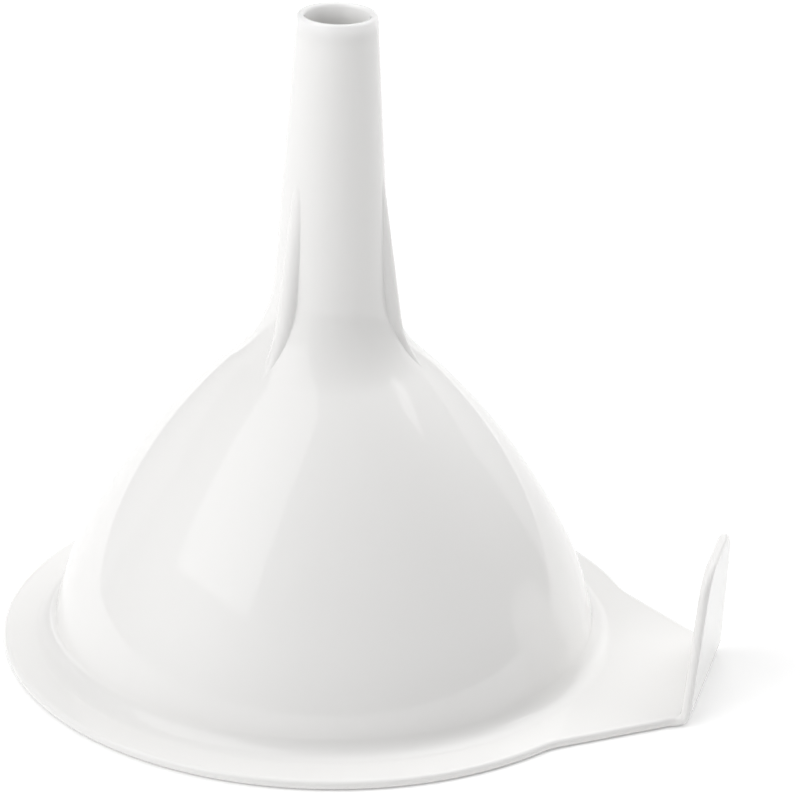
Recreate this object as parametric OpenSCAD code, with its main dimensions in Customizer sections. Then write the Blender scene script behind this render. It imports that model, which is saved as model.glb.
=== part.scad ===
// One-piece kitchen funnel, shown the way it is stored: mouth down, spout up.
// The moulding is divided into its named regions, which meet face to face.
// Frame: Z runs up the spout, Z = 0 is the flat underside of the mouth flange,
// and the hang tab points along +X. Everything is in millimetres.

/* [Mouth] */
// Outside diameter of the flange round the mouth
mouth_d = 120; // [116:0.5:130]
// Wall of the bowl, and thickness of the flange, tab and hook lip
wall = 1.8; // [1.6:0.1:2.1]
// Flat width of the flange, from its edge to the start of the fillet
flange_w = 5.8; // [4.4:0.2:7]
// Outside radius of the hollow fillet between flange and bowl
foot_fillet_r = 4; // [3:0.5:6]

/* [Bowl] */
// Lean of the bowl wall at the mouth, in degrees from upright
foot_lean = 10; // [6:1:14]
// Radius of the lower, rounder part of the bowl's side
skirt_r = 53; // [48:1:60]
// Lean of the wall where the lower part ends
skirt_lean = 26; // [23:1:29]
// Radius of the long upper part of the bowl's side
crown_r = 121; // [115:1:128]

/* [Spout] */
// Height from the flange's underside to the tip
total_h = 121.3; // [117:0.1:128]
// Radius of the round hole at the tip
outlet_r = 5.8; // [5.2:0.1:6]
// Wall at the tip
tip_wall = 1.4; // [1.2:0.1:1.5]
// Length of the straight part of the hole
outlet_len = 4; // [3:0.5:6]
// Taper of the spout's outside, in degrees from upright
spout_lean = 3.8; // [3.5:0.1:4.1]
// Radius of the hollow curve between spout and bowl
shoulder_r = 23; // [20:1:25]

/* [Vent ribs] */
// Number of ribs that let the air out of a bottle's neck
rib_count = 3; // [3]
// Radius of a rib's round back
rib_r = 1.9; // [1.7:0.1:2.1]
// Lean of a rib's back, in degrees from upright
rib_lean = 8.6; // [8.2:0.1:9]
// How far a rib's back stands out from the spout, at the check height
rib_rise = 1.7; // [1.5:0.1:1.8]
// Height of that check
rib_check_z = 72; // [71:0.5:73]
// Radius of the curve in which a rib's back runs out onto the bowl
rib_flare_r = 18; // [16:1:20]

/* [Hang tab] */
// Distance from the spout's axis to the outer face of the hook lip
tab_reach = 73; // [72:0.5:76]
// Half of the tab's width where the lip's bend starts
tab_half_w = 16.4; // [14:0.2:17]
// Angle between each side of the tab and the tab's own direction
tab_side = 38.3; // [36:0.1:40]
// Radius of the inside curve where a tab side leaves the round flange
notch_r = 12; // [8:1:16]
// Radius inside the lip's bend
bend_r = 0.9; // [0.6:0.1:1.5]
// Height of the lip's top edge
lip_h = 28.6; // [24:0.2:34]
// Outward lean of the lip, in degrees from upright
lip_lean = 3; // [0:0.5:6]
// Slope of the lip's sides towards its top, in degrees
lip_side = 11; // [8:1:13]
// Radius of the lip's two top corners
lip_corner_r = 7; // [5:0.5:8]

/* [Hidden] */
$fn = 180;
plastic = [0.95, 0.95, 0.94];
// Facets of the small round edges
edge_fn = 48;
// How far a rib's back sinks below the surface where it ends on the bowl
rib_sink = 0.1;
// Height above which a rib's rod is hidden in the spout
rod_top_z = 99;

function dir(a) = [cos(a), sin(a)];
function angle_of(v) = atan2(v[1], v[0]);

// The wall's outside, in radius and height, from the mouth up to the spout
mouth_r = mouth_d / 2;
foot_c = [mouth_r - flange_w, wall + foot_fillet_r];
skirt_c = foot_c - (foot_fillet_r + skirt_r) * dir(foot_lean);
crown_c = skirt_c - (crown_r - skirt_r) * dir(skirt_lean);

// Centre of a hollow curve of radius r that rolls between the bowl's crown, sunk by
// that much, and the straight line through p that leans by that many degrees
function rolled_centre(p, lean, r, sink = 0) =
    let (n = dir(lean),
         t = [-n[1], n[0]],
         base = n * (n * p + r) - crown_c,
         b = base * t,
         c = base * base - pow(crown_r - sink + r, 2))
    crown_c + base + t * (sqrt(b * b - c) - b);

tip_r = outlet_r + tip_wall;
tip_p = [tip_r, total_h - tip_wall / 2];
tube_end_z = total_h - outlet_len;
function spout_r(z) = tip_r + (tip_p[1] - z) * tan(spout_lean);
shoulder_c = rolled_centre(tip_p, spout_lean, shoulder_r);
crown_lean = angle_of(shoulder_c - crown_c);
crown_top = crown_c + crown_r * dir(crown_lean);
tube_foot = shoulder_c - shoulder_r * dir(spout_lean);
tube_foot_in = shoulder_c - (shoulder_r + wall) * dir(spout_lean);

// A rib is a straight rod, half sunk in the spout, that bends out onto the bowl
rib_p = [spout_r(rib_check_z) + rib_rise, rib_check_z];
rib_c = rolled_centre(rib_p, rib_lean, rib_flare_r, rib_sink);
rib_turn = angle_of(rib_c - crown_c) - rib_lean;
rod_bend_r = rib_flare_r + rib_r;
rod_foot = rib_c - rod_bend_r * dir(rib_lean);
rod_len = (rod_top_z - rod_foot[1]) / cos(rib_lean);

// Plan of the hang tab: its side line, the notch curve and the start of the bend
core_r = mouth_r - wall / 2;
side_n = dir(90 - tab_side);
bend_x = tab_reach - wall - bend_r;
side_d = side_n * [bend_x, tab_half_w];
notch_t = sqrt(pow(mouth_r + notch_r, 2) - pow(side_d + notch_r, 2));
notch_c = side_n * (side_d + notch_r) + notch_t * [side_n[1], -side_n[0]];
notch_a = angle_of(notch_c);
tab_side_line = [notch_c, notch_c - notch_r * side_n, [bend_x, tab_half_w]];

// The lip stands on the end of the bend. Its outline has its height along X.
bend_turn = 90 - lip_lean;
bend_out_r = bend_r + wall;
lip_foot = [bend_x + bend_out_r * cos(lip_lean), bend_out_r * (1 - sin(lip_lean))];
lip_top = (lip_h - lip_foot[1]) / cos(lip_lean);
corner_x = lip_top - lip_corner_r;
corner_y = tab_half_w - corner_x * tan(lip_side) - lip_corner_r / cos(lip_side);
lip_half = concat(
    [for (a = [0:(90 - lip_side) / 12:90 - lip_side])
        [corner_x, corner_y] + lip_corner_r * dir(a)],
    [[0, tab_half_w]]);

// The same points on the other side of the X axis, in the opposite order
function flipped(points) =
    [for (i = [len(points) - 1:-1:0]) [points[i][0], -points[i][1]]];

// The part of the ring between two circles that lies between two directions
module ring_slice(c, r_in, r_out, a_from, a_to) {
    reach = (r_out + 1) / cos((a_to - a_from) / 2);
    intersection() {
        translate(c) difference() {
            circle(r_out);
            circle(r_in);
        }
        polygon([c, c + reach * dir(a_from), c + reach * dir(a_to)]);
    }
}

// Everything inside the outer face of the crown, shoulder and spout
module solid_bell() {
    rotate_extrude() {
        difference() {
            polygon([
                [0, crown_top[1]], crown_top, shoulder_c, tube_foot,
                [spout_r(total_h), total_h], [0, total_h]
            ]);
            translate(shoulder_c) circle(shoulder_r);
        }
        intersection() {
            translate(crown_c) circle(crown_r);
            translate([0, mouth_r / 3]) square([mouth_r, crown_top[1] - mouth_r / 3]);
        }
    }
}

module mouth_flange() {
    color(plastic) {
        linear_extrude(wall) difference() {
            circle(core_r);
            circle(foot_c[0]);
        }
        translate([0, 0, wall / 2])
            rotate([0, 0, notch_a])
                rotate_extrude(angle = 360 - 2 * notch_a)
                    translate([core_r, 0]) circle(wall / 2, $fn = edge_fn);
    }
}

module mouth_fillet() {
    color(plastic) rotate_extrude()
        ring_slice(foot_c, foot_fillet_r, foot_fillet_r + wall, 180 + foot_lean, 270);
}

module bowl_skirt() {
    color(plastic) rotate_extrude()
        ring_slice(skirt_c, skirt_r - wall, skirt_r, foot_lean, skirt_lean);
}

module bowl_crown() {
    color(plastic) rotate_extrude()
        ring_slice(crown_c, crown_r - wall, crown_r, skirt_lean, crown_lean);
}

module shoulder() {
    color(plastic) rotate_extrude()
        ring_slice(shoulder_c, shoulder_r, shoulder_r + wall,
                   180 + spout_lean, 180 + crown_lean);
}

module spout_tube() {
    color(plastic) rotate_extrude()
        polygon([
            tube_foot, [spout_r(tube_end_z), tube_end_z],
            [outlet_r, tube_end_z], tube_foot_in
        ]);
}

module spout_tip() {
    color(plastic) rotate_extrude() {
        polygon([
            [outlet_r, tube_end_z], [spout_r(tube_end_z), tube_end_z],
            tip_p, [outlet_r, tip_p[1]]
        ]);
        translate([outlet_r + tip_wall / 2, tip_p[1]])
            circle(tip_wall / 2, $fn = edge_fn);
    }
}

module vent_rib(i) {
    color(plastic) rotate([0, 0, i * 360 / rib_count])
        difference() {
            union() {
                translate([rod_foot[0], 0, rod_foot[1]])
                    rotate([0, -rib_lean, 0]) cylinder(r = rib_r, h = rod_len);
                translate([rib_c[0], 0, rib_c[1]])
                    rotate([90, 0, 0]) rotate([0, 0, 180 + rib_lean])
                        rotate_extrude(angle = rib_turn)
                            translate([rod_bend_r, 0]) circle(rib_r);
            }
            solid_bell();
        }
}

module hang_tab() {
    color(plastic) linear_extrude(wall)
        difference() {
            polygon(concat([[0, 0]], tab_side_line, flipped(tab_side_line)));
            circle(core_r);
            translate(notch_c) circle(notch_r);
            translate(flipped([notch_c])[0]) circle(notch_r);
        }
}

module tab_bend() {
    color(plastic) translate([bend_x, 0, bend_out_r])
        rotate([90, 0, 0]) rotate([0, 0, -90])
            rotate_extrude(angle = bend_turn)
                translate([bend_r, -tab_half_w]) square([wall, 2 * tab_half_w]);
}

module hook_lip() {
    color(plastic) translate([lip_foot[0], 0, lip_foot[1]])
        rotate([0, -bend_turn, 0])
            linear_extrude(wall) polygon(concat(lip_half, flipped(lip_half)));
}

mouth_flange();
mouth_fillet();
bowl_skirt();
bowl_crown();
shoulder();
spout_tube();
spout_tip();
vent_rib(0);  // vent_rib_1
vent_rib(1);  // vent_rib_2
vent_rib(2);  // vent_rib_3
hang_tab();
tab_bend();
hook_lip();
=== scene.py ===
import math

import bpy
from mathutils import Matrix, Vector


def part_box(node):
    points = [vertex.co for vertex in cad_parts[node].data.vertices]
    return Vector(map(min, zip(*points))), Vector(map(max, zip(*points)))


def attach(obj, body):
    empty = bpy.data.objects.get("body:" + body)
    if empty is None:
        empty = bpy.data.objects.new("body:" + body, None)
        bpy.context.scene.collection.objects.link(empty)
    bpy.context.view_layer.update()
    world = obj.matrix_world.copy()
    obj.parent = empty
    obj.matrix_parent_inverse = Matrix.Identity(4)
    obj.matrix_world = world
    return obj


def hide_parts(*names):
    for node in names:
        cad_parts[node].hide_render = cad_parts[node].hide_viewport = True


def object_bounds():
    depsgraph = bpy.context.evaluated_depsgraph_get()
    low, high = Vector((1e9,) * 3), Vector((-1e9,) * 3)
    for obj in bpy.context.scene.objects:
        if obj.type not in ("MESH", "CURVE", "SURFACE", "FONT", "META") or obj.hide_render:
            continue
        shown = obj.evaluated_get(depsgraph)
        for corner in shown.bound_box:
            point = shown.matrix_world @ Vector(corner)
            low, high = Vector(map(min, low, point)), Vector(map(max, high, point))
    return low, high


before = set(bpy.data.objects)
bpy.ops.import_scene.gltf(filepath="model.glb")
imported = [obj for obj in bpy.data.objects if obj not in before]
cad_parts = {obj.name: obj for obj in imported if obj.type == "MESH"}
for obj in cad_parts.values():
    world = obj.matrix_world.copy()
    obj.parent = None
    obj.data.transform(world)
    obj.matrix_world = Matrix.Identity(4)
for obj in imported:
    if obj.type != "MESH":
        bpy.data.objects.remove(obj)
cad_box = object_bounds()

# ---------------------------------------------------------------- sizes
# Lengths are in millimetres and angles in degrees until a mesh is made.
# What a CAD box gives is read from it; the rest are the curves' own radii.
MM = 0.001
SAME_PLACE = 1e-6
SAME_ANGLE = 1e-4
HALVINGS = 40


def box_mm(node):
    lo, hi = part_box(node)
    return lo / MM, hi / MM


flange_lo, flange_hi = box_mm("mouth_flange")
bend_lo, bend_hi = box_mm("tab_bend")
tip_hi = box_mm("spout_tip")[1]

wall = round(flange_hi.z, 2)
mouth_r = round(-flange_lo.x, 1)
total_h = round(tip_hi.z, 1)
bend_x = round(bend_lo.x, 2)
tab_half_w = round(bend_hi.y, 2)

flange_w = 5.8
foot_fillet_r = 4
foot_lean = 10
skirt_r = 53
skirt_lean = 26
crown_r = 121
outlet_r = 5.8
tip_wall = 1.4
outlet_len = 4
spout_lean = 3.8
shoulder_r = 23
rib_count = 3
rib_r = 1.9
rib_lean = 8.6
rib_rise = 1.7
rib_check_z = 72
rib_flare_r = 18
rib_root_r = 0.35
tab_side = 38.3
notch_r = 12
bend_r = 0.9
lip_h = 28.6
lip_lean = 3
lip_side = 11
lip_corner_r = 7
tab_corner_r = 5

rib_sink = 0.1
rib_depth = 0.3
edge_r = wall / 2
core_r = mouth_r - edge_r


def direction(a):
    return Vector((math.cos(math.radians(a)), math.sin(math.radians(a))))


def angle_of(v):
    return math.degrees(math.atan2(v[1], v[0]))


def spread(a, b, n):
    return [a + (b - a) * i / n for i in range(n + 1)]


# ---------------------------------------------------------------- profile
# Points of the outside in radius and height, from the mouth up to the spout.
foot_c = Vector((mouth_r - flange_w, wall + foot_fillet_r))
skirt_c = foot_c - (foot_fillet_r + skirt_r) * direction(foot_lean)
crown_c = skirt_c - (crown_r - skirt_r) * direction(skirt_lean)


def rolled_centre(p, lean, r, sink=0.0):
    """Centre of a hollow curve that rolls between the crown and a leaning line."""
    n = direction(lean)
    t = Vector((-n[1], n[0]))
    base = n * (n.dot(p) + r) - crown_c
    b = base.dot(t)
    c = base.dot(base) - (crown_r - sink + r) ** 2
    return crown_c + base + t * (math.sqrt(b * b - c) - b)


tip_r = outlet_r + tip_wall
tip_z = total_h - tip_wall / 2
tube_end_z = total_h - outlet_len
shoulder_c = rolled_centre(Vector((tip_r, tip_z)), spout_lean, shoulder_r)
crown_lean = angle_of(shoulder_c - crown_c)


def spout_r(z):
    return tip_r + (tip_z - z) * math.tan(math.radians(spout_lean))


def outside_r(z):
    """Radius of the outside at a height, above the fillet."""
    if z > shoulder_c[1] - shoulder_r * direction(spout_lean)[1]:
        return spout_r(z)
    if z > crown_c[1] + crown_r * direction(crown_lean)[1]:
        return shoulder_c[0] - math.sqrt(shoulder_r**2 - (z - shoulder_c[1]) ** 2)
    if z > crown_c[1] + crown_r * direction(skirt_lean)[1]:
        return crown_c[0] + math.sqrt(crown_r**2 - (z - crown_c[1]) ** 2)
    return skirt_c[0] + math.sqrt(skirt_r**2 - (z - skirt_c[1]) ** 2)


def outside_normal(z):
    """Normal of the outside in radius and height."""
    e = 0.01
    slope = (outside_r(z + e) - outside_r(z - e)) / (2 * e)
    return Vector((1, -slope)).normalized()


# ---------------------------------------------------------------- mesh making
class Shell:
    """Points and faces, with a shading normal for every face corner."""

    def __init__(self):
        self.points = []
        self.faces = []
        self.normals = []

    def add(self, point):
        self.points.append(Vector(point) * MM)
        return len(self.points) - 1

    def face(self, corners, normals):
        """Adds a face, turned so that it looks the way its normals do."""
        kept = [i for i, c in enumerate(corners) if c != corners[i - 1]]
        points = [self.points[corners[i]] for i in kept]
        area = Vector()
        for p, q in zip(points, points[1:] + points[:1]):
            area += (p - points[0]).cross(q - points[0])
        if len(kept) < 3 or area.length < 1e-16:
            return
        ways = [Vector(normals[i]).normalized() for i in kept]
        if area.dot(sum(ways, Vector())) < 0:
            kept.reverse()
            ways.reverse()
        self.faces.append([corners[i] for i in kept])
        self.normals += ways

    def flat(self, corners, normal):
        self.face(corners, [normal] * len(corners))

    def finish(self, node):
        """Makes the closed piece, which stands for one CAD node."""
        name = node + "_moulding"
        mesh = bpy.data.meshes.new(name)
        mesh.from_pydata(self.points, [], self.faces)
        mesh.shade_smooth()
        mesh.normals_split_custom_set(self.normals)
        mesh.materials.append(white_plastic)
        piece = bpy.data.objects.new(name, mesh)
        bpy.context.scene.collection.objects.link(piece)
        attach(piece, "root")
        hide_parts(node)
        return piece


def around(p, a):
    """A radius and height as a point at azimuth a."""
    d = direction(a)
    return (p[0] * d[0], p[0] * d[1], p[1])


def arc(centre, r, a_from, a_to, n, side=1):
    """Points and normals on a circle; side -1 turns the normals inwards."""
    return [
        (centre + r * direction(a), side * direction(a)) for a in spread(a_from, a_to, n)
    ]


def line(p, q, n):
    """Points and normals on a straight line; the outside is on its right."""
    way = (q - p).normalized()
    normal = Vector((way[1], -way[0]))
    return [(p.lerp(q, i / n), normal) for i in range(n + 1)]


def revolve(node, outer, inner):
    """Turns a profile: up the outside, across, down the inside, and across."""
    joined = (outer[-1][0] - inner[0][0]).length < SAME_PLACE
    chain = outer + inner[1 if joined else 0:]
    ends = [len(chain) - 1] if joined else [len(outer) - 1, len(chain) - 1]
    shell = Shell()
    rings = [[shell.add(around(p, a)) for a in azimuths] for p, _ in chain]
    for i in range(len(chain)):
        j = (i + 1) % len(chain)
        (p, n_p), (q, n_q) = chain[i], chain[j]
        if i in ends:
            n_p = n_q = line(p, q, 1)[0][1]
        for k in range(len(azimuths)):
            m = (k + 1) % len(azimuths)
            a, b = azimuths[k], azimuths[m]
            shell.face(
                [rings[i][k], rings[i][m], rings[j][m], rings[j][k]],
                [around(n_p, a), around(n_p, b), around(n_q, b), around(n_q, a)],
            )
    return shell.finish(node)


# ---------------------------------------------------------------- material
def add_node(tree, kind, values=None, **settings):
    made = tree.nodes.new(kind)
    for key, value in settings.items():
        setattr(made, key, value)
    for key, value in (values or {}).items():
        made.inputs[key].default_value = value
    return made


def glossy_white_plastic():
    """White moulded plastic: a faint waviness, a fine skin and small gloss changes."""
    mat = bpy.data.materials.new("white_plastic")
    mat.use_nodes = True
    tree = mat.node_tree
    link = tree.links.new
    shader = tree.nodes["Principled BSDF"]
    shader.inputs["IOR"].default_value = 1.5
    place = add_node(tree, "ShaderNodeTexCoord")

    cloud = add_node(tree, "ShaderNodeTexNoise", {"Scale": 28.0, "Detail": 3.0})
    tint = add_node(tree, "ShaderNodeMixRGB")
    tint.inputs["Color1"].default_value = (0.895, 0.888, 0.876, 1)
    tint.inputs["Color2"].default_value = (0.91, 0.904, 0.894, 1)
    link(place.outputs["Object"], cloud.inputs["Vector"])
    link(cloud.outputs["Fac"], tint.inputs["Fac"])
    link(tint.outputs["Color"], shader.inputs["Base Color"])

    gloss = add_node(tree, "ShaderNodeTexNoise", {"Scale": 240.0, "Detail": 4.0})
    gloss_range = add_node(
        tree, "ShaderNodeMapRange",
        {"From Min": 0.3, "From Max": 0.7, "To Min": 0.04, "To Max": 0.075},
    )
    link(place.outputs["Object"], gloss.inputs["Vector"])
    link(gloss.outputs["Fac"], gloss_range.inputs["Value"])
    link(gloss_range.outputs["Result"], shader.inputs["Roughness"])

    wave = add_node(tree, "ShaderNodeTexNoise", {"Scale": 55.0, "Detail": 1.0})
    skin = add_node(tree, "ShaderNodeTexNoise", {"Scale": 1400.0, "Detail": 2.0})
    wave_bump = add_node(tree, "ShaderNodeBump", {"Strength": 1.0, "Distance": 0.00004})
    skin_bump = add_node(tree, "ShaderNodeBump", {"Strength": 1.0, "Distance": 0.0000012})
    link(place.outputs["Object"], wave.inputs["Vector"])
    link(place.outputs["Object"], skin.inputs["Vector"])
    link(wave.outputs["Fac"], wave_bump.inputs["Height"])
    link(skin.outputs["Fac"], skin_bump.inputs["Height"])
    link(wave_bump.outputs["Normal"], skin_bump.inputs["Normal"])
    link(skin_bump.outputs["Normal"], shader.inputs["Normal"])

    # The thin wall round the outlet lets light through, more towards the rim. It
    # starts above the tip's lower cap, which would show as a dark ring.
    shader.inputs["Subsurface Radius"].default_value = (1, 1, 1)
    shader.inputs["Subsurface Scale"].default_value = 0.0035
    height = add_node(tree, "ShaderNodeSeparateXYZ")
    thin = add_node(tree, "ShaderNodeMapRange", {
        "From Min": (tube_end_z + 0.3) * MM, "From Max": (tip_z - 0.5) * MM,
        "To Min": 0.0, "To Max": 1.0,
    })
    link(place.outputs["Object"], height.inputs["Vector"])
    link(height.outputs["Z"], thin.inputs["Value"])
    link(thin.outputs["Result"], shader.inputs["Subsurface Weight"])
    return mat


white_plastic = glossy_white_plastic()

# ---------------------------------------------------------------- the tab's plan
# The tab, its bend and the lip are one sheet. Points on it are given as the way
# along the sheet from the bend's start, the width, and the height in the sheet.
sheet_turn = 90 - lip_lean
sheet_r = bend_r + edge_r
bend_out_r = bend_r + wall
bend_len = sheet_r * math.radians(sheet_turn)
lip_foot_z = bend_out_r * (1 - direction(lip_lean)[1])
sheet_top = bend_len + (lip_h - lip_foot_z) / direction(lip_lean)[0]

side_n = direction(90 - tab_side)
lip_n = direction(90 - lip_side)
side_d = side_n.dot((bend_x, tab_half_w))
notch_t = math.sqrt((mouth_r + notch_r) ** 2 - (side_d + notch_r) ** 2)
notch_c = side_n * (side_d + notch_r) + notch_t * Vector((side_n[1], -side_n[0]))
notch_a = angle_of(notch_c)

corner_turn = tab_side - lip_side
corner_c = (
    Vector((0, tab_half_w))
    - tab_corner_r * math.tan(math.radians(corner_turn / 2)) * Vector((side_n[1], -side_n[0]))
    + tab_corner_r * side_n
)
top_x = sheet_top - lip_corner_r
top_y = (lip_n[1] * tab_half_w - lip_corner_r - lip_n[0] * top_x) / lip_n[1]

around_steps = 240
azimuths = sorted(
    {round(a, 6) for a in spread(0, 360, around_steps)[:-1]}
    | {round(notch_a, 6), round(360 - notch_a, 6)}
)


def on_sheet(s, y, h):
    """A point of the sheet, bent to its place."""
    turn = min(max(s / bend_len, 0), 1) * sheet_turn
    d = direction(turn)
    past = s if s < 0 else max(s - bend_len, 0)
    r = bend_out_r - h
    return (
        bend_x + r * d[1] + past * d[0],
        y,
        bend_out_r - r * d[0] + past * d[1],
    )


def sheet_way(s, n):
    """A direction of the flat sheet, turned to the bend at s."""
    d = direction(min(max(s / bend_len, 0), 1) * sheet_turn)
    return (n[0] * d[0] - n[2] * d[1], n[1], n[0] * d[1] + n[2] * d[0])


def sheet_edge():
    """Core points and outward directions of one side, from the flange to the top."""
    shift = Vector((bend_x, 0))
    points = [
        (notch_c - shift + (notch_r + edge_r) * direction(a), a - 180)
        for a in spread(180 + notch_a, 270 - tab_side, 24)
    ]
    points += [
        (corner_c - (tab_corner_r + edge_r) * direction(a), a)
        for a in spread(90 - tab_side, 90 - lip_side, 10)
    ]
    points += [
        (Vector((top_x, top_y)) + (lip_corner_r - edge_r) * direction(a), a)
        for a in spread(90 - lip_side, 0, 24)
    ]
    return points


def cut_edge(points, at):
    """Adds a point where a side crosses one place along the sheet."""
    out = []
    for (p, a), (q, b) in zip(points, points[1:]):
        out.append((p, a))
        if p[0] < at - SAME_PLACE and q[0] > at + SAME_PLACE:
            t = (at - p[0]) / (q[0] - p[0])
            out.append((p.lerp(q, t), a + (b - a) * t))
    return out + [points[-1]]


edge_steps = 16
bend_steps = 14
side = sheet_edge()
for cut in spread(0, bend_len, bend_steps):
    side = cut_edge(side, cut)


def round_edge(shell, p, a, flip):
    """One section of the full-round edge: vertex numbers and normals, top to bottom."""
    made = []
    for t in spread(90, -90, edge_steps):
        up, out = math.sin(math.radians(t)), math.cos(math.radians(t))
        d = direction(a)
        s, y = p[0] + edge_r * out * d[0], p[1] + edge_r * out * d[1]
        number = shell.add(on_sheet(s, flip * y, edge_r + edge_r * up))
        made.append((number, sheet_way(s, (out * d[0], flip * out * d[1], up))))
    return made


def join(shell, one, two):
    """Faces between two sections of an edge."""
    for (a, n_a), (b, n_b), (c, n_c), (d, n_d) in zip(one, two, two[1:], one[1:]):
        shell.face([a, b, c, d], [n_a, n_b, n_c, n_d])


def numbers(section):
    return [number for number, _ in section]


# ---------------------------------------------------------------- flange
def flange_ring():
    """The flat ring and its round rim, which stops where the tab's sides begin."""
    shell = Shell()
    inner, rims = [], []
    for a in azimuths:
        d = direction(a)
        inner.append([shell.add(around((foot_c[0], z), a)) for z in (wall, 0)])
        rimmed = notch_a - SAME_ANGLE < a < 360 - notch_a + SAME_ANGLE
        rims.append([])
        for t in spread(90, -90, edge_steps if rimmed else 1):
            out, up = direction(t)
            number = shell.add(around((core_r + edge_r * out, edge_r + edge_r * up), a))
            rims[-1].append((number, (out * d[0], out * d[1], up)))
    for k, a in enumerate(azimuths):
        m = (k + 1) % len(azimuths)
        (top_a, low_a), (top_b, low_b) = inner[k], inner[m]
        one, two = rims[k], rims[m]
        in_a, in_b = (around((-1, 0), x) for x in (a, azimuths[m]))
        out_a, out_b = (around((1, 0), x) for x in (a, azimuths[m]))
        shell.flat([top_a, one[0][0], two[0][0], top_b], (0, 0, 1))
        shell.flat([low_a, one[-1][0], two[-1][0], low_b], (0, 0, -1))
        shell.face([top_a, low_a, low_b, top_b], [in_a, in_a, in_b, in_b])
        if len(one) == len(two) > 2:
            join(shell, one, two)
            continue
        shell.face(
            [one[0][0], one[-1][0], two[-1][0], two[0][0]], [out_a, out_a, out_b, out_b]
        )
        for section, turn in ((one, 1), (two, -1)):
            if len(section) > 2:
                way = direction(angle_of(section[edge_steps // 2][1]) + 90 * turn)
                shell.flat(numbers(section), (way[0], way[1], 0))
    return shell.finish("mouth_flange")


# ---------------------------------------------------------------- tab, bend, lip
def stretch(s_from, s_to):
    """Shell with the two round edges of a stretch of the sheet, and its sections."""
    shell = Shell()
    low, high = s_from - SAME_PLACE, s_to + SAME_PLACE
    part = [(p, a) for p, a in side if low < p[0] < high]
    right, left = ([round_edge(shell, p, a, f) for p, a in part] for f in (1, -1))
    for sections in (right, left):
        for one, two in zip(sections, sections[1:]):
            join(shell, one, two)
    return shell, [p[0] for p, _ in part], right, left


def broad_faces(shell, places, right, left):
    """The sheet's two broad faces between the edges, row by row."""
    for end, way in ((0, 1), (-1, -1)):
        for i in range(len(places) - 1):
            n, m = (sheet_way(s, (0, 0, way)) for s in places[i:i + 2])
            shell.face(
                [left[i][end][0], left[i + 1][end][0],
                 right[i + 1][end][0], right[i][end][0]],
                [n, m, m, n],
            )


def close_sheet(shell, place, way, right, left):
    """The plain end of a stretch, where the next piece begins."""
    shell.flat(numbers(right) + numbers(left)[::-1], sheet_way(place, (way, 0, 0)))


def hang_tab():
    shell, _, right, left = stretch(-math.inf, 0)
    arc_a = [a if a < 180 else a - 360 for a in azimuths]
    arc_a = sorted(a for a in arc_a if abs(a) < notch_a - SAME_ANGLE)
    walls = []
    for end, z, way in ((0, wall, 1), (-1, 0, -1)):
        middle = [shell.add(around((core_r, z), a)) for a in arc_a]
        walls.append([left[0][end][0], *middle, right[0][end][0]])
        loop = walls[-1] + [e[end][0] for e in right[1:]] + [e[end][0] for e in left[:0:-1]]
        shell.flat(loop, (0, 0, way))
    for k, a in enumerate([-notch_a, *arc_a]):
        corners = [walls[0][k], walls[0][k + 1], walls[1][k + 1], walls[1][k]]
        shell.flat(corners, around((-1, 0), a))
    for section, a in ((right[0], notch_a + 90), (left[0], -notch_a - 90)):
        way = direction(a)
        shell.flat(numbers(section), (way[0], way[1], 0))
    close_sheet(shell, 0, 1, right[-1], left[-1])
    return shell.finish("hang_tab")


def tab_bend():
    shell, places, right, left = stretch(0, bend_len)
    broad_faces(shell, places, right, left)
    close_sheet(shell, 0, -1, right[0], left[0])
    close_sheet(shell, bend_len, 1, right[-1], left[-1])
    return shell.finish("tab_bend")


def hook_lip():
    shell, places, right, left = stretch(bend_len, math.inf)
    broad_faces(shell, places, right, left)
    join(shell, right[-1], left[-1])
    close_sheet(shell, bend_len, -1, right[0], left[0])
    return shell.finish("hook_lip")


# ---------------------------------------------------------------- vent ribs
# A rib is a round rod, half sunk in the spout, with a small hollow curve at its
# root. It is found section by section, square to the rod.
rib_p = Vector((spout_r(rib_check_z) + rib_rise, rib_check_z))
rib_c = rolled_centre(rib_p, rib_lean, rib_flare_r, rib_sink)
rod_bend_r = rib_flare_r + rib_r
rib_steps = 72
root_steps = 8
back_steps = 14
floor_steps = 8


def rod_at(t):
    """Rod's centre and outward normal: t in mm up the straight, or below 0 in the bend."""
    turn = rib_lean + math.degrees(max(-t, 0) / rod_bend_r)
    n = direction(turn)
    up = Vector((-n[1], n[0]))
    return rib_c - rod_bend_r * n + max(t, 0) * up, n


def surface_over(c, n, y):
    """How far the outside lies from the rod's centre, along n, at a width."""
    low, high = -6.0, 6.0
    for _ in range(HALVINGS):
        u = (low + high) / 2
        p = c + u * n
        if math.hypot(p[0], y) < outside_r(p[1]):
            low = u
        else:
            high = u
    return low


def rib_section(t):
    """Width, height and normal of a section, from one root over the back."""
    root = rib_root_r
    c, n = rod_at(t)
    low, high = 0.0, 4.0
    for _ in range(HALVINGS):
        y = (low + high) / 2
        u = surface_over(c, n, y)
        slope = (surface_over(c, n, y + 0.02) - u) / 0.02
        out = Vector((-slope, 1)).normalized()
        f = Vector((y, u)) + root * out
        if f.length < rib_r + root:
            low = y
        else:
            high = y
    a_root = angle_of(-out)
    a_rod = angle_of(-f)
    a_root += 360 if a_root < a_rod - 180 else 0
    points = []
    for a in spread(a_root, a_rod, root_steps):
        points.append((f + root * direction(a), -direction(a)))
    for a in spread(angle_of(f), 90, back_steps)[1:]:
        points.append((rib_r * direction(a), direction(a)))
    points += [(Vector((-p[0], p[1])), Vector((-m[0], m[1]))) for p, m in points[-2::-1]]
    return c, n, points


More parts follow.
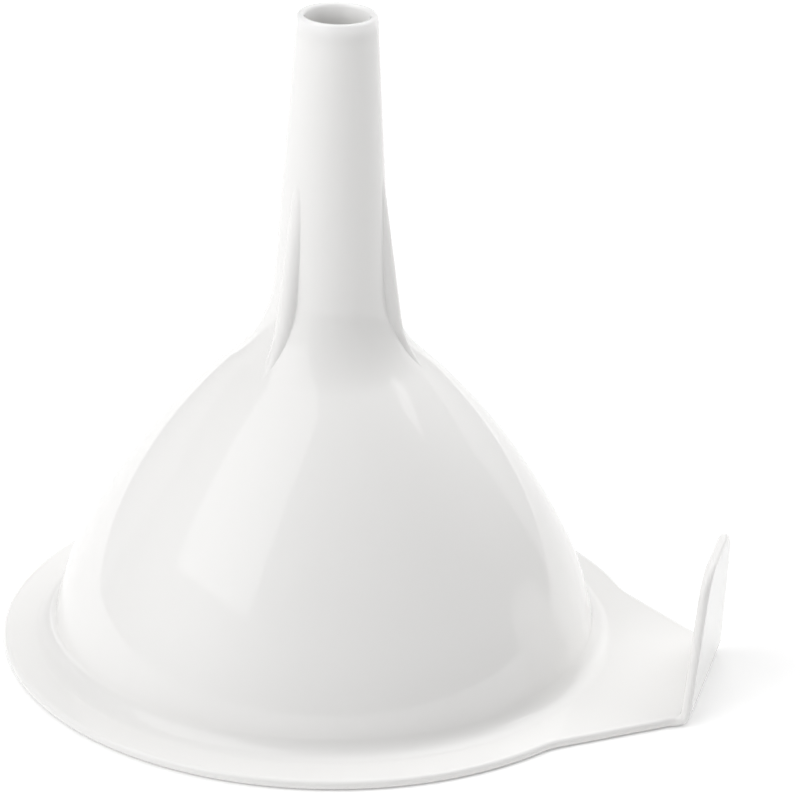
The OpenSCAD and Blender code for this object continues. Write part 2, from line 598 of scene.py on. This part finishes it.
def rib_ends():
    """Where the rod's back sinks into the outside, above and below."""
    ends = []
    for step in (-1, 1):
        t = 0.0
        while True:
            c, n = rod_at(t + step * 0.02)
            if rib_r - surface_over(c, n, 0) < 0.004:
                break
            t += step * 0.02
        ends.append(t)
    return ends


def rib_rings():
    """All sections of a rib along +X, as points and normals in space."""
    t_low, t_high = rib_ends()
    rings = []
    for k in spread(0, 180, rib_steps):
        t = t_low + (t_high - t_low) * (1 - math.cos(math.radians(k))) / 2
        c, n, points = rib_section(t)
        ring = []
        for i, (p, m) in enumerate(points):
            at = c + p[1] * n
            way = Vector((m[1] * n[0], m[0], m[1] * n[1]))
            share = max(0.0, 1 - min(i, len(points) - 1 - i) / root_steps) ** 2
            body_n = outside_normal(at[1])
            flat = Vector((at[0], p[0])).normalized()
            skin = Vector((body_n[0] * flat[0], body_n[0] * flat[1], body_n[1]))
            ring.append((Vector((at[0], p[0], at[1])), way.lerp(skin, share).normalized()))
        floor = []
        for f in spread(1, -1, floor_steps):
            y = f * points[0][0][0]
            at = c + (surface_over(c, n, y) - rib_depth) * n
            floor.append(Vector((at[0], y, at[1])))
        rings.append((ring, floor))
    return rings


def vent_rib(index, rings):
    shell = Shell()
    turn = Matrix.Rotation(math.radians(360 / rib_count * index), 3, "Z")
    made = []
    for ring, floor in rings:
        back = [(shell.add(turn @ p), turn @ n) for p, n in ring]
        under = [shell.add(turn @ p) for p in floor]
        made.append((back, under))
    axis_way = turn @ Vector((-1, 0, 0))
    for (back_a, under_a), (back_b, under_b) in zip(made, made[1:]):
        join(shell, back_a, back_b)
        for i in range(len(under_a) - 1):
            corners = [under_a[i], under_a[i + 1], under_b[i + 1], under_b[i]]
            shell.flat(corners, axis_way)
        for i, j, way in ((0, 0, 1), (-1, -1, -1)):
            corners = [back_a[i][0], back_b[i][0], under_b[j], under_a[j]]
            shell.flat(corners, turn @ Vector((0, way, 0)))
    for (back, under), way in ((made[0], -1), (made[-1], 1)):
        shell.flat(numbers(back) + under[::-1], (0, 0, way))
    return shell.finish(f"vent_rib_{index + 1}")


# ---------------------------------------------------------------- the moulding
revolve(
    "mouth_fillet",
    arc(foot_c, foot_fillet_r, 270, 180 + foot_lean, 20, -1),
    arc(foot_c, foot_fillet_r + wall, 180 + foot_lean, 270, 20),
)
revolve(
    "bowl_skirt",
    arc(skirt_c, skirt_r, foot_lean, skirt_lean, 12),
    arc(skirt_c, skirt_r - wall, skirt_lean, foot_lean, 12, -1),
)
revolve(
    "bowl_crown",
    arc(crown_c, crown_r, skirt_lean, crown_lean, 28),
    arc(crown_c, crown_r - wall, crown_lean, skirt_lean, 28, -1),
)
revolve(
    "shoulder",
    arc(shoulder_c, shoulder_r, 180 + crown_lean, 180 + spout_lean, 24, -1),
    arc(shoulder_c, shoulder_r + wall, 180 + spout_lean, 180 + crown_lean, 24),
)
tube_foot = shoulder_c - shoulder_r * direction(spout_lean)
tube_foot_in = shoulder_c - (shoulder_r + wall) * direction(spout_lean)
tube_end = Vector((spout_r(tube_end_z), tube_end_z))
outlet_foot = Vector((outlet_r, tube_end_z))
revolve(
    "spout_tube",
    line(tube_foot, tube_end, 24),
    line(outlet_foot, tube_foot_in, 24),
)
rim_c = Vector((outlet_r + tip_wall / 2, tip_z))
revolve(
    "spout_tip",
    line(tube_end, Vector((tip_r, tip_z)), 4)[:-1] + arc(rim_c, tip_wall / 2, 0, 180, 16),
    line(Vector((outlet_r, tip_z)), outlet_foot, 4),
)
flange_ring()
hang_tab()
tab_bend()
hook_lip()
rings = rib_rings()
for index in range(rib_count):
    vent_rib(index, rings)

# ---------------------------------------------------------------- studio
scene = bpy.context.scene
scene.view_settings.view_transform = "Standard"
scene.view_settings.look = "None"
floor_size = 6.0
glow_power = 6.0
middle = (cad_box[0] + cad_box[1]) / 2


def white_floor():
    """A white floor that gives a little light of its own, like a light table."""
    mat = bpy.data.materials.new("white_floor")
    mat.use_nodes = True
    shader = mat.node_tree.nodes["Principled BSDF"]
    shader.inputs["Base Color"].default_value = (0.95, 0.95, 0.95, 1)
    shader.inputs["Roughness"].default_value = 0.9
    shader.inputs["Emission Color"].default_value = (1, 1, 1, 1)
    shader.inputs["Emission Strength"].default_value = 0.1
    bpy.ops.mesh.primitive_plane_add(size=floor_size, location=(0, 0, cad_box[0].z))
    floor = bpy.context.object
    floor.name = "studio_floor"
    floor.data.materials.append(mat)


def way_to(azimuth, elevation):
    d, e = direction(azimuth), direction(elevation)
    return Vector((d[0] * e[0], d[1] * e[0], e[1]))


def soft_light(name, azimuth, elevation, distance, size, strength, roll=0):
    """A soft box in that direction, so many metres off, with its size and radiance."""
    lamp = bpy.data.lights.new(name, "AREA")
    lamp.shape = "RECTANGLE"
    lamp.size, lamp.size_y = size
    lamp.energy = strength * math.pi * size[0] * size[1]
    way = way_to(azimuth, elevation)
    light = bpy.data.objects.new(name, lamp)
    turn = way.to_track_quat("Z", "Y").to_matrix() @ Matrix.Rotation(math.radians(roll), 3, "Z")
    light.matrix_world = Matrix.Translation(middle + way * distance) @ turn.to_4x4()
    scene.collection.objects.link(light)
    return light


def studio_room(base, glows):
    """A room of even brightness, with soft glows: azimuth, elevation and radiance."""
    world = bpy.data.worlds.new("studio_room")
    world.use_nodes = True
    tree = world.node_tree
    link = tree.links.new
    ground = tree.nodes["Background"]
    ground.inputs["Color"].default_value = (1, 1, 1, 1)
    place = add_node(tree, "ShaderNodeTexCoord")
    total = add_node(tree, "ShaderNodeValue")
    total.outputs[0].default_value = base
    for azimuth, elevation, strength in glows:
        dot = add_node(tree, "ShaderNodeVectorMath", operation="DOT_PRODUCT")
        dot.inputs[1].default_value = way_to(azimuth, elevation)
        front = add_node(tree, "ShaderNodeMath", {1: 0.0}, operation="MAXIMUM")
        lobe = add_node(tree, "ShaderNodeMath", {1: glow_power}, operation="POWER")
        add = add_node(tree, "ShaderNodeMath", {1: strength}, operation="MULTIPLY_ADD")
        link(place.outputs["Generated"], dot.inputs[0])
        link(dot.outputs["Value"], front.inputs[0])
        link(front.outputs[0], lobe.inputs[0])
        link(lobe.outputs[0], add.inputs[0])
        link(total.outputs[0], add.inputs[2])
        total = add
    link(total.outputs[0], ground.inputs["Strength"])
    scene.world = world


white_floor()
left_wall = (-135, 15, 0.8)
left_ceiling = (-150, 50, 0.7)
overhead = (0, 90, 0.8)
back_ceiling = (60, 50, 2.0)
studio_room(0.13, (left_wall, left_ceiling, overhead, back_ceiling))
soft_light("soft_box", -138, 47, 1.0, (0.8, 0.9), 1.0, roll=10)
soft_light("back_lamp", 28, 42, 1.0, (0.2, 0.12), 1.2)
soft_light("right_panel", 79, 9, 0.9, (1.1, 0.4), 0.5)
soft_light("left_panel", 141, 9, 0.9, (1.1, 0.4), 0.3)

# ---------------------------------------------------------------- camera
camera = bpy.data.cameras.new("camera")
camera.sensor_width = 36
camera.lens = 155.7
camera.clip_start, camera.clip_end = 0.05, 20
view = bpy.data.objects.new("camera", camera)
camera_place = Vector((156.2, -559.5, 301.5))
heading, pitch, roll = math.radians(104.32), math.radians(23.58), math.radians(1.77)
forward = Vector((
    math.cos(heading) * math.cos(pitch), math.sin(heading) * math.cos(pitch), -math.sin(pitch)
))
level = Vector((math.sin(heading), -math.cos(heading), 0))
upward = level.cross(forward)
right_way = math.cos(roll) * level + math.sin(roll) * upward
up_way = math.cos(roll) * upward - math.sin(roll) * level
view.matrix_world = Matrix.Translation(camera_place * MM) @ Matrix(
    (right_way, up_way, -forward)
).transposed().to_4x4()
scene.collection.objects.link(view)
scene.camera = view
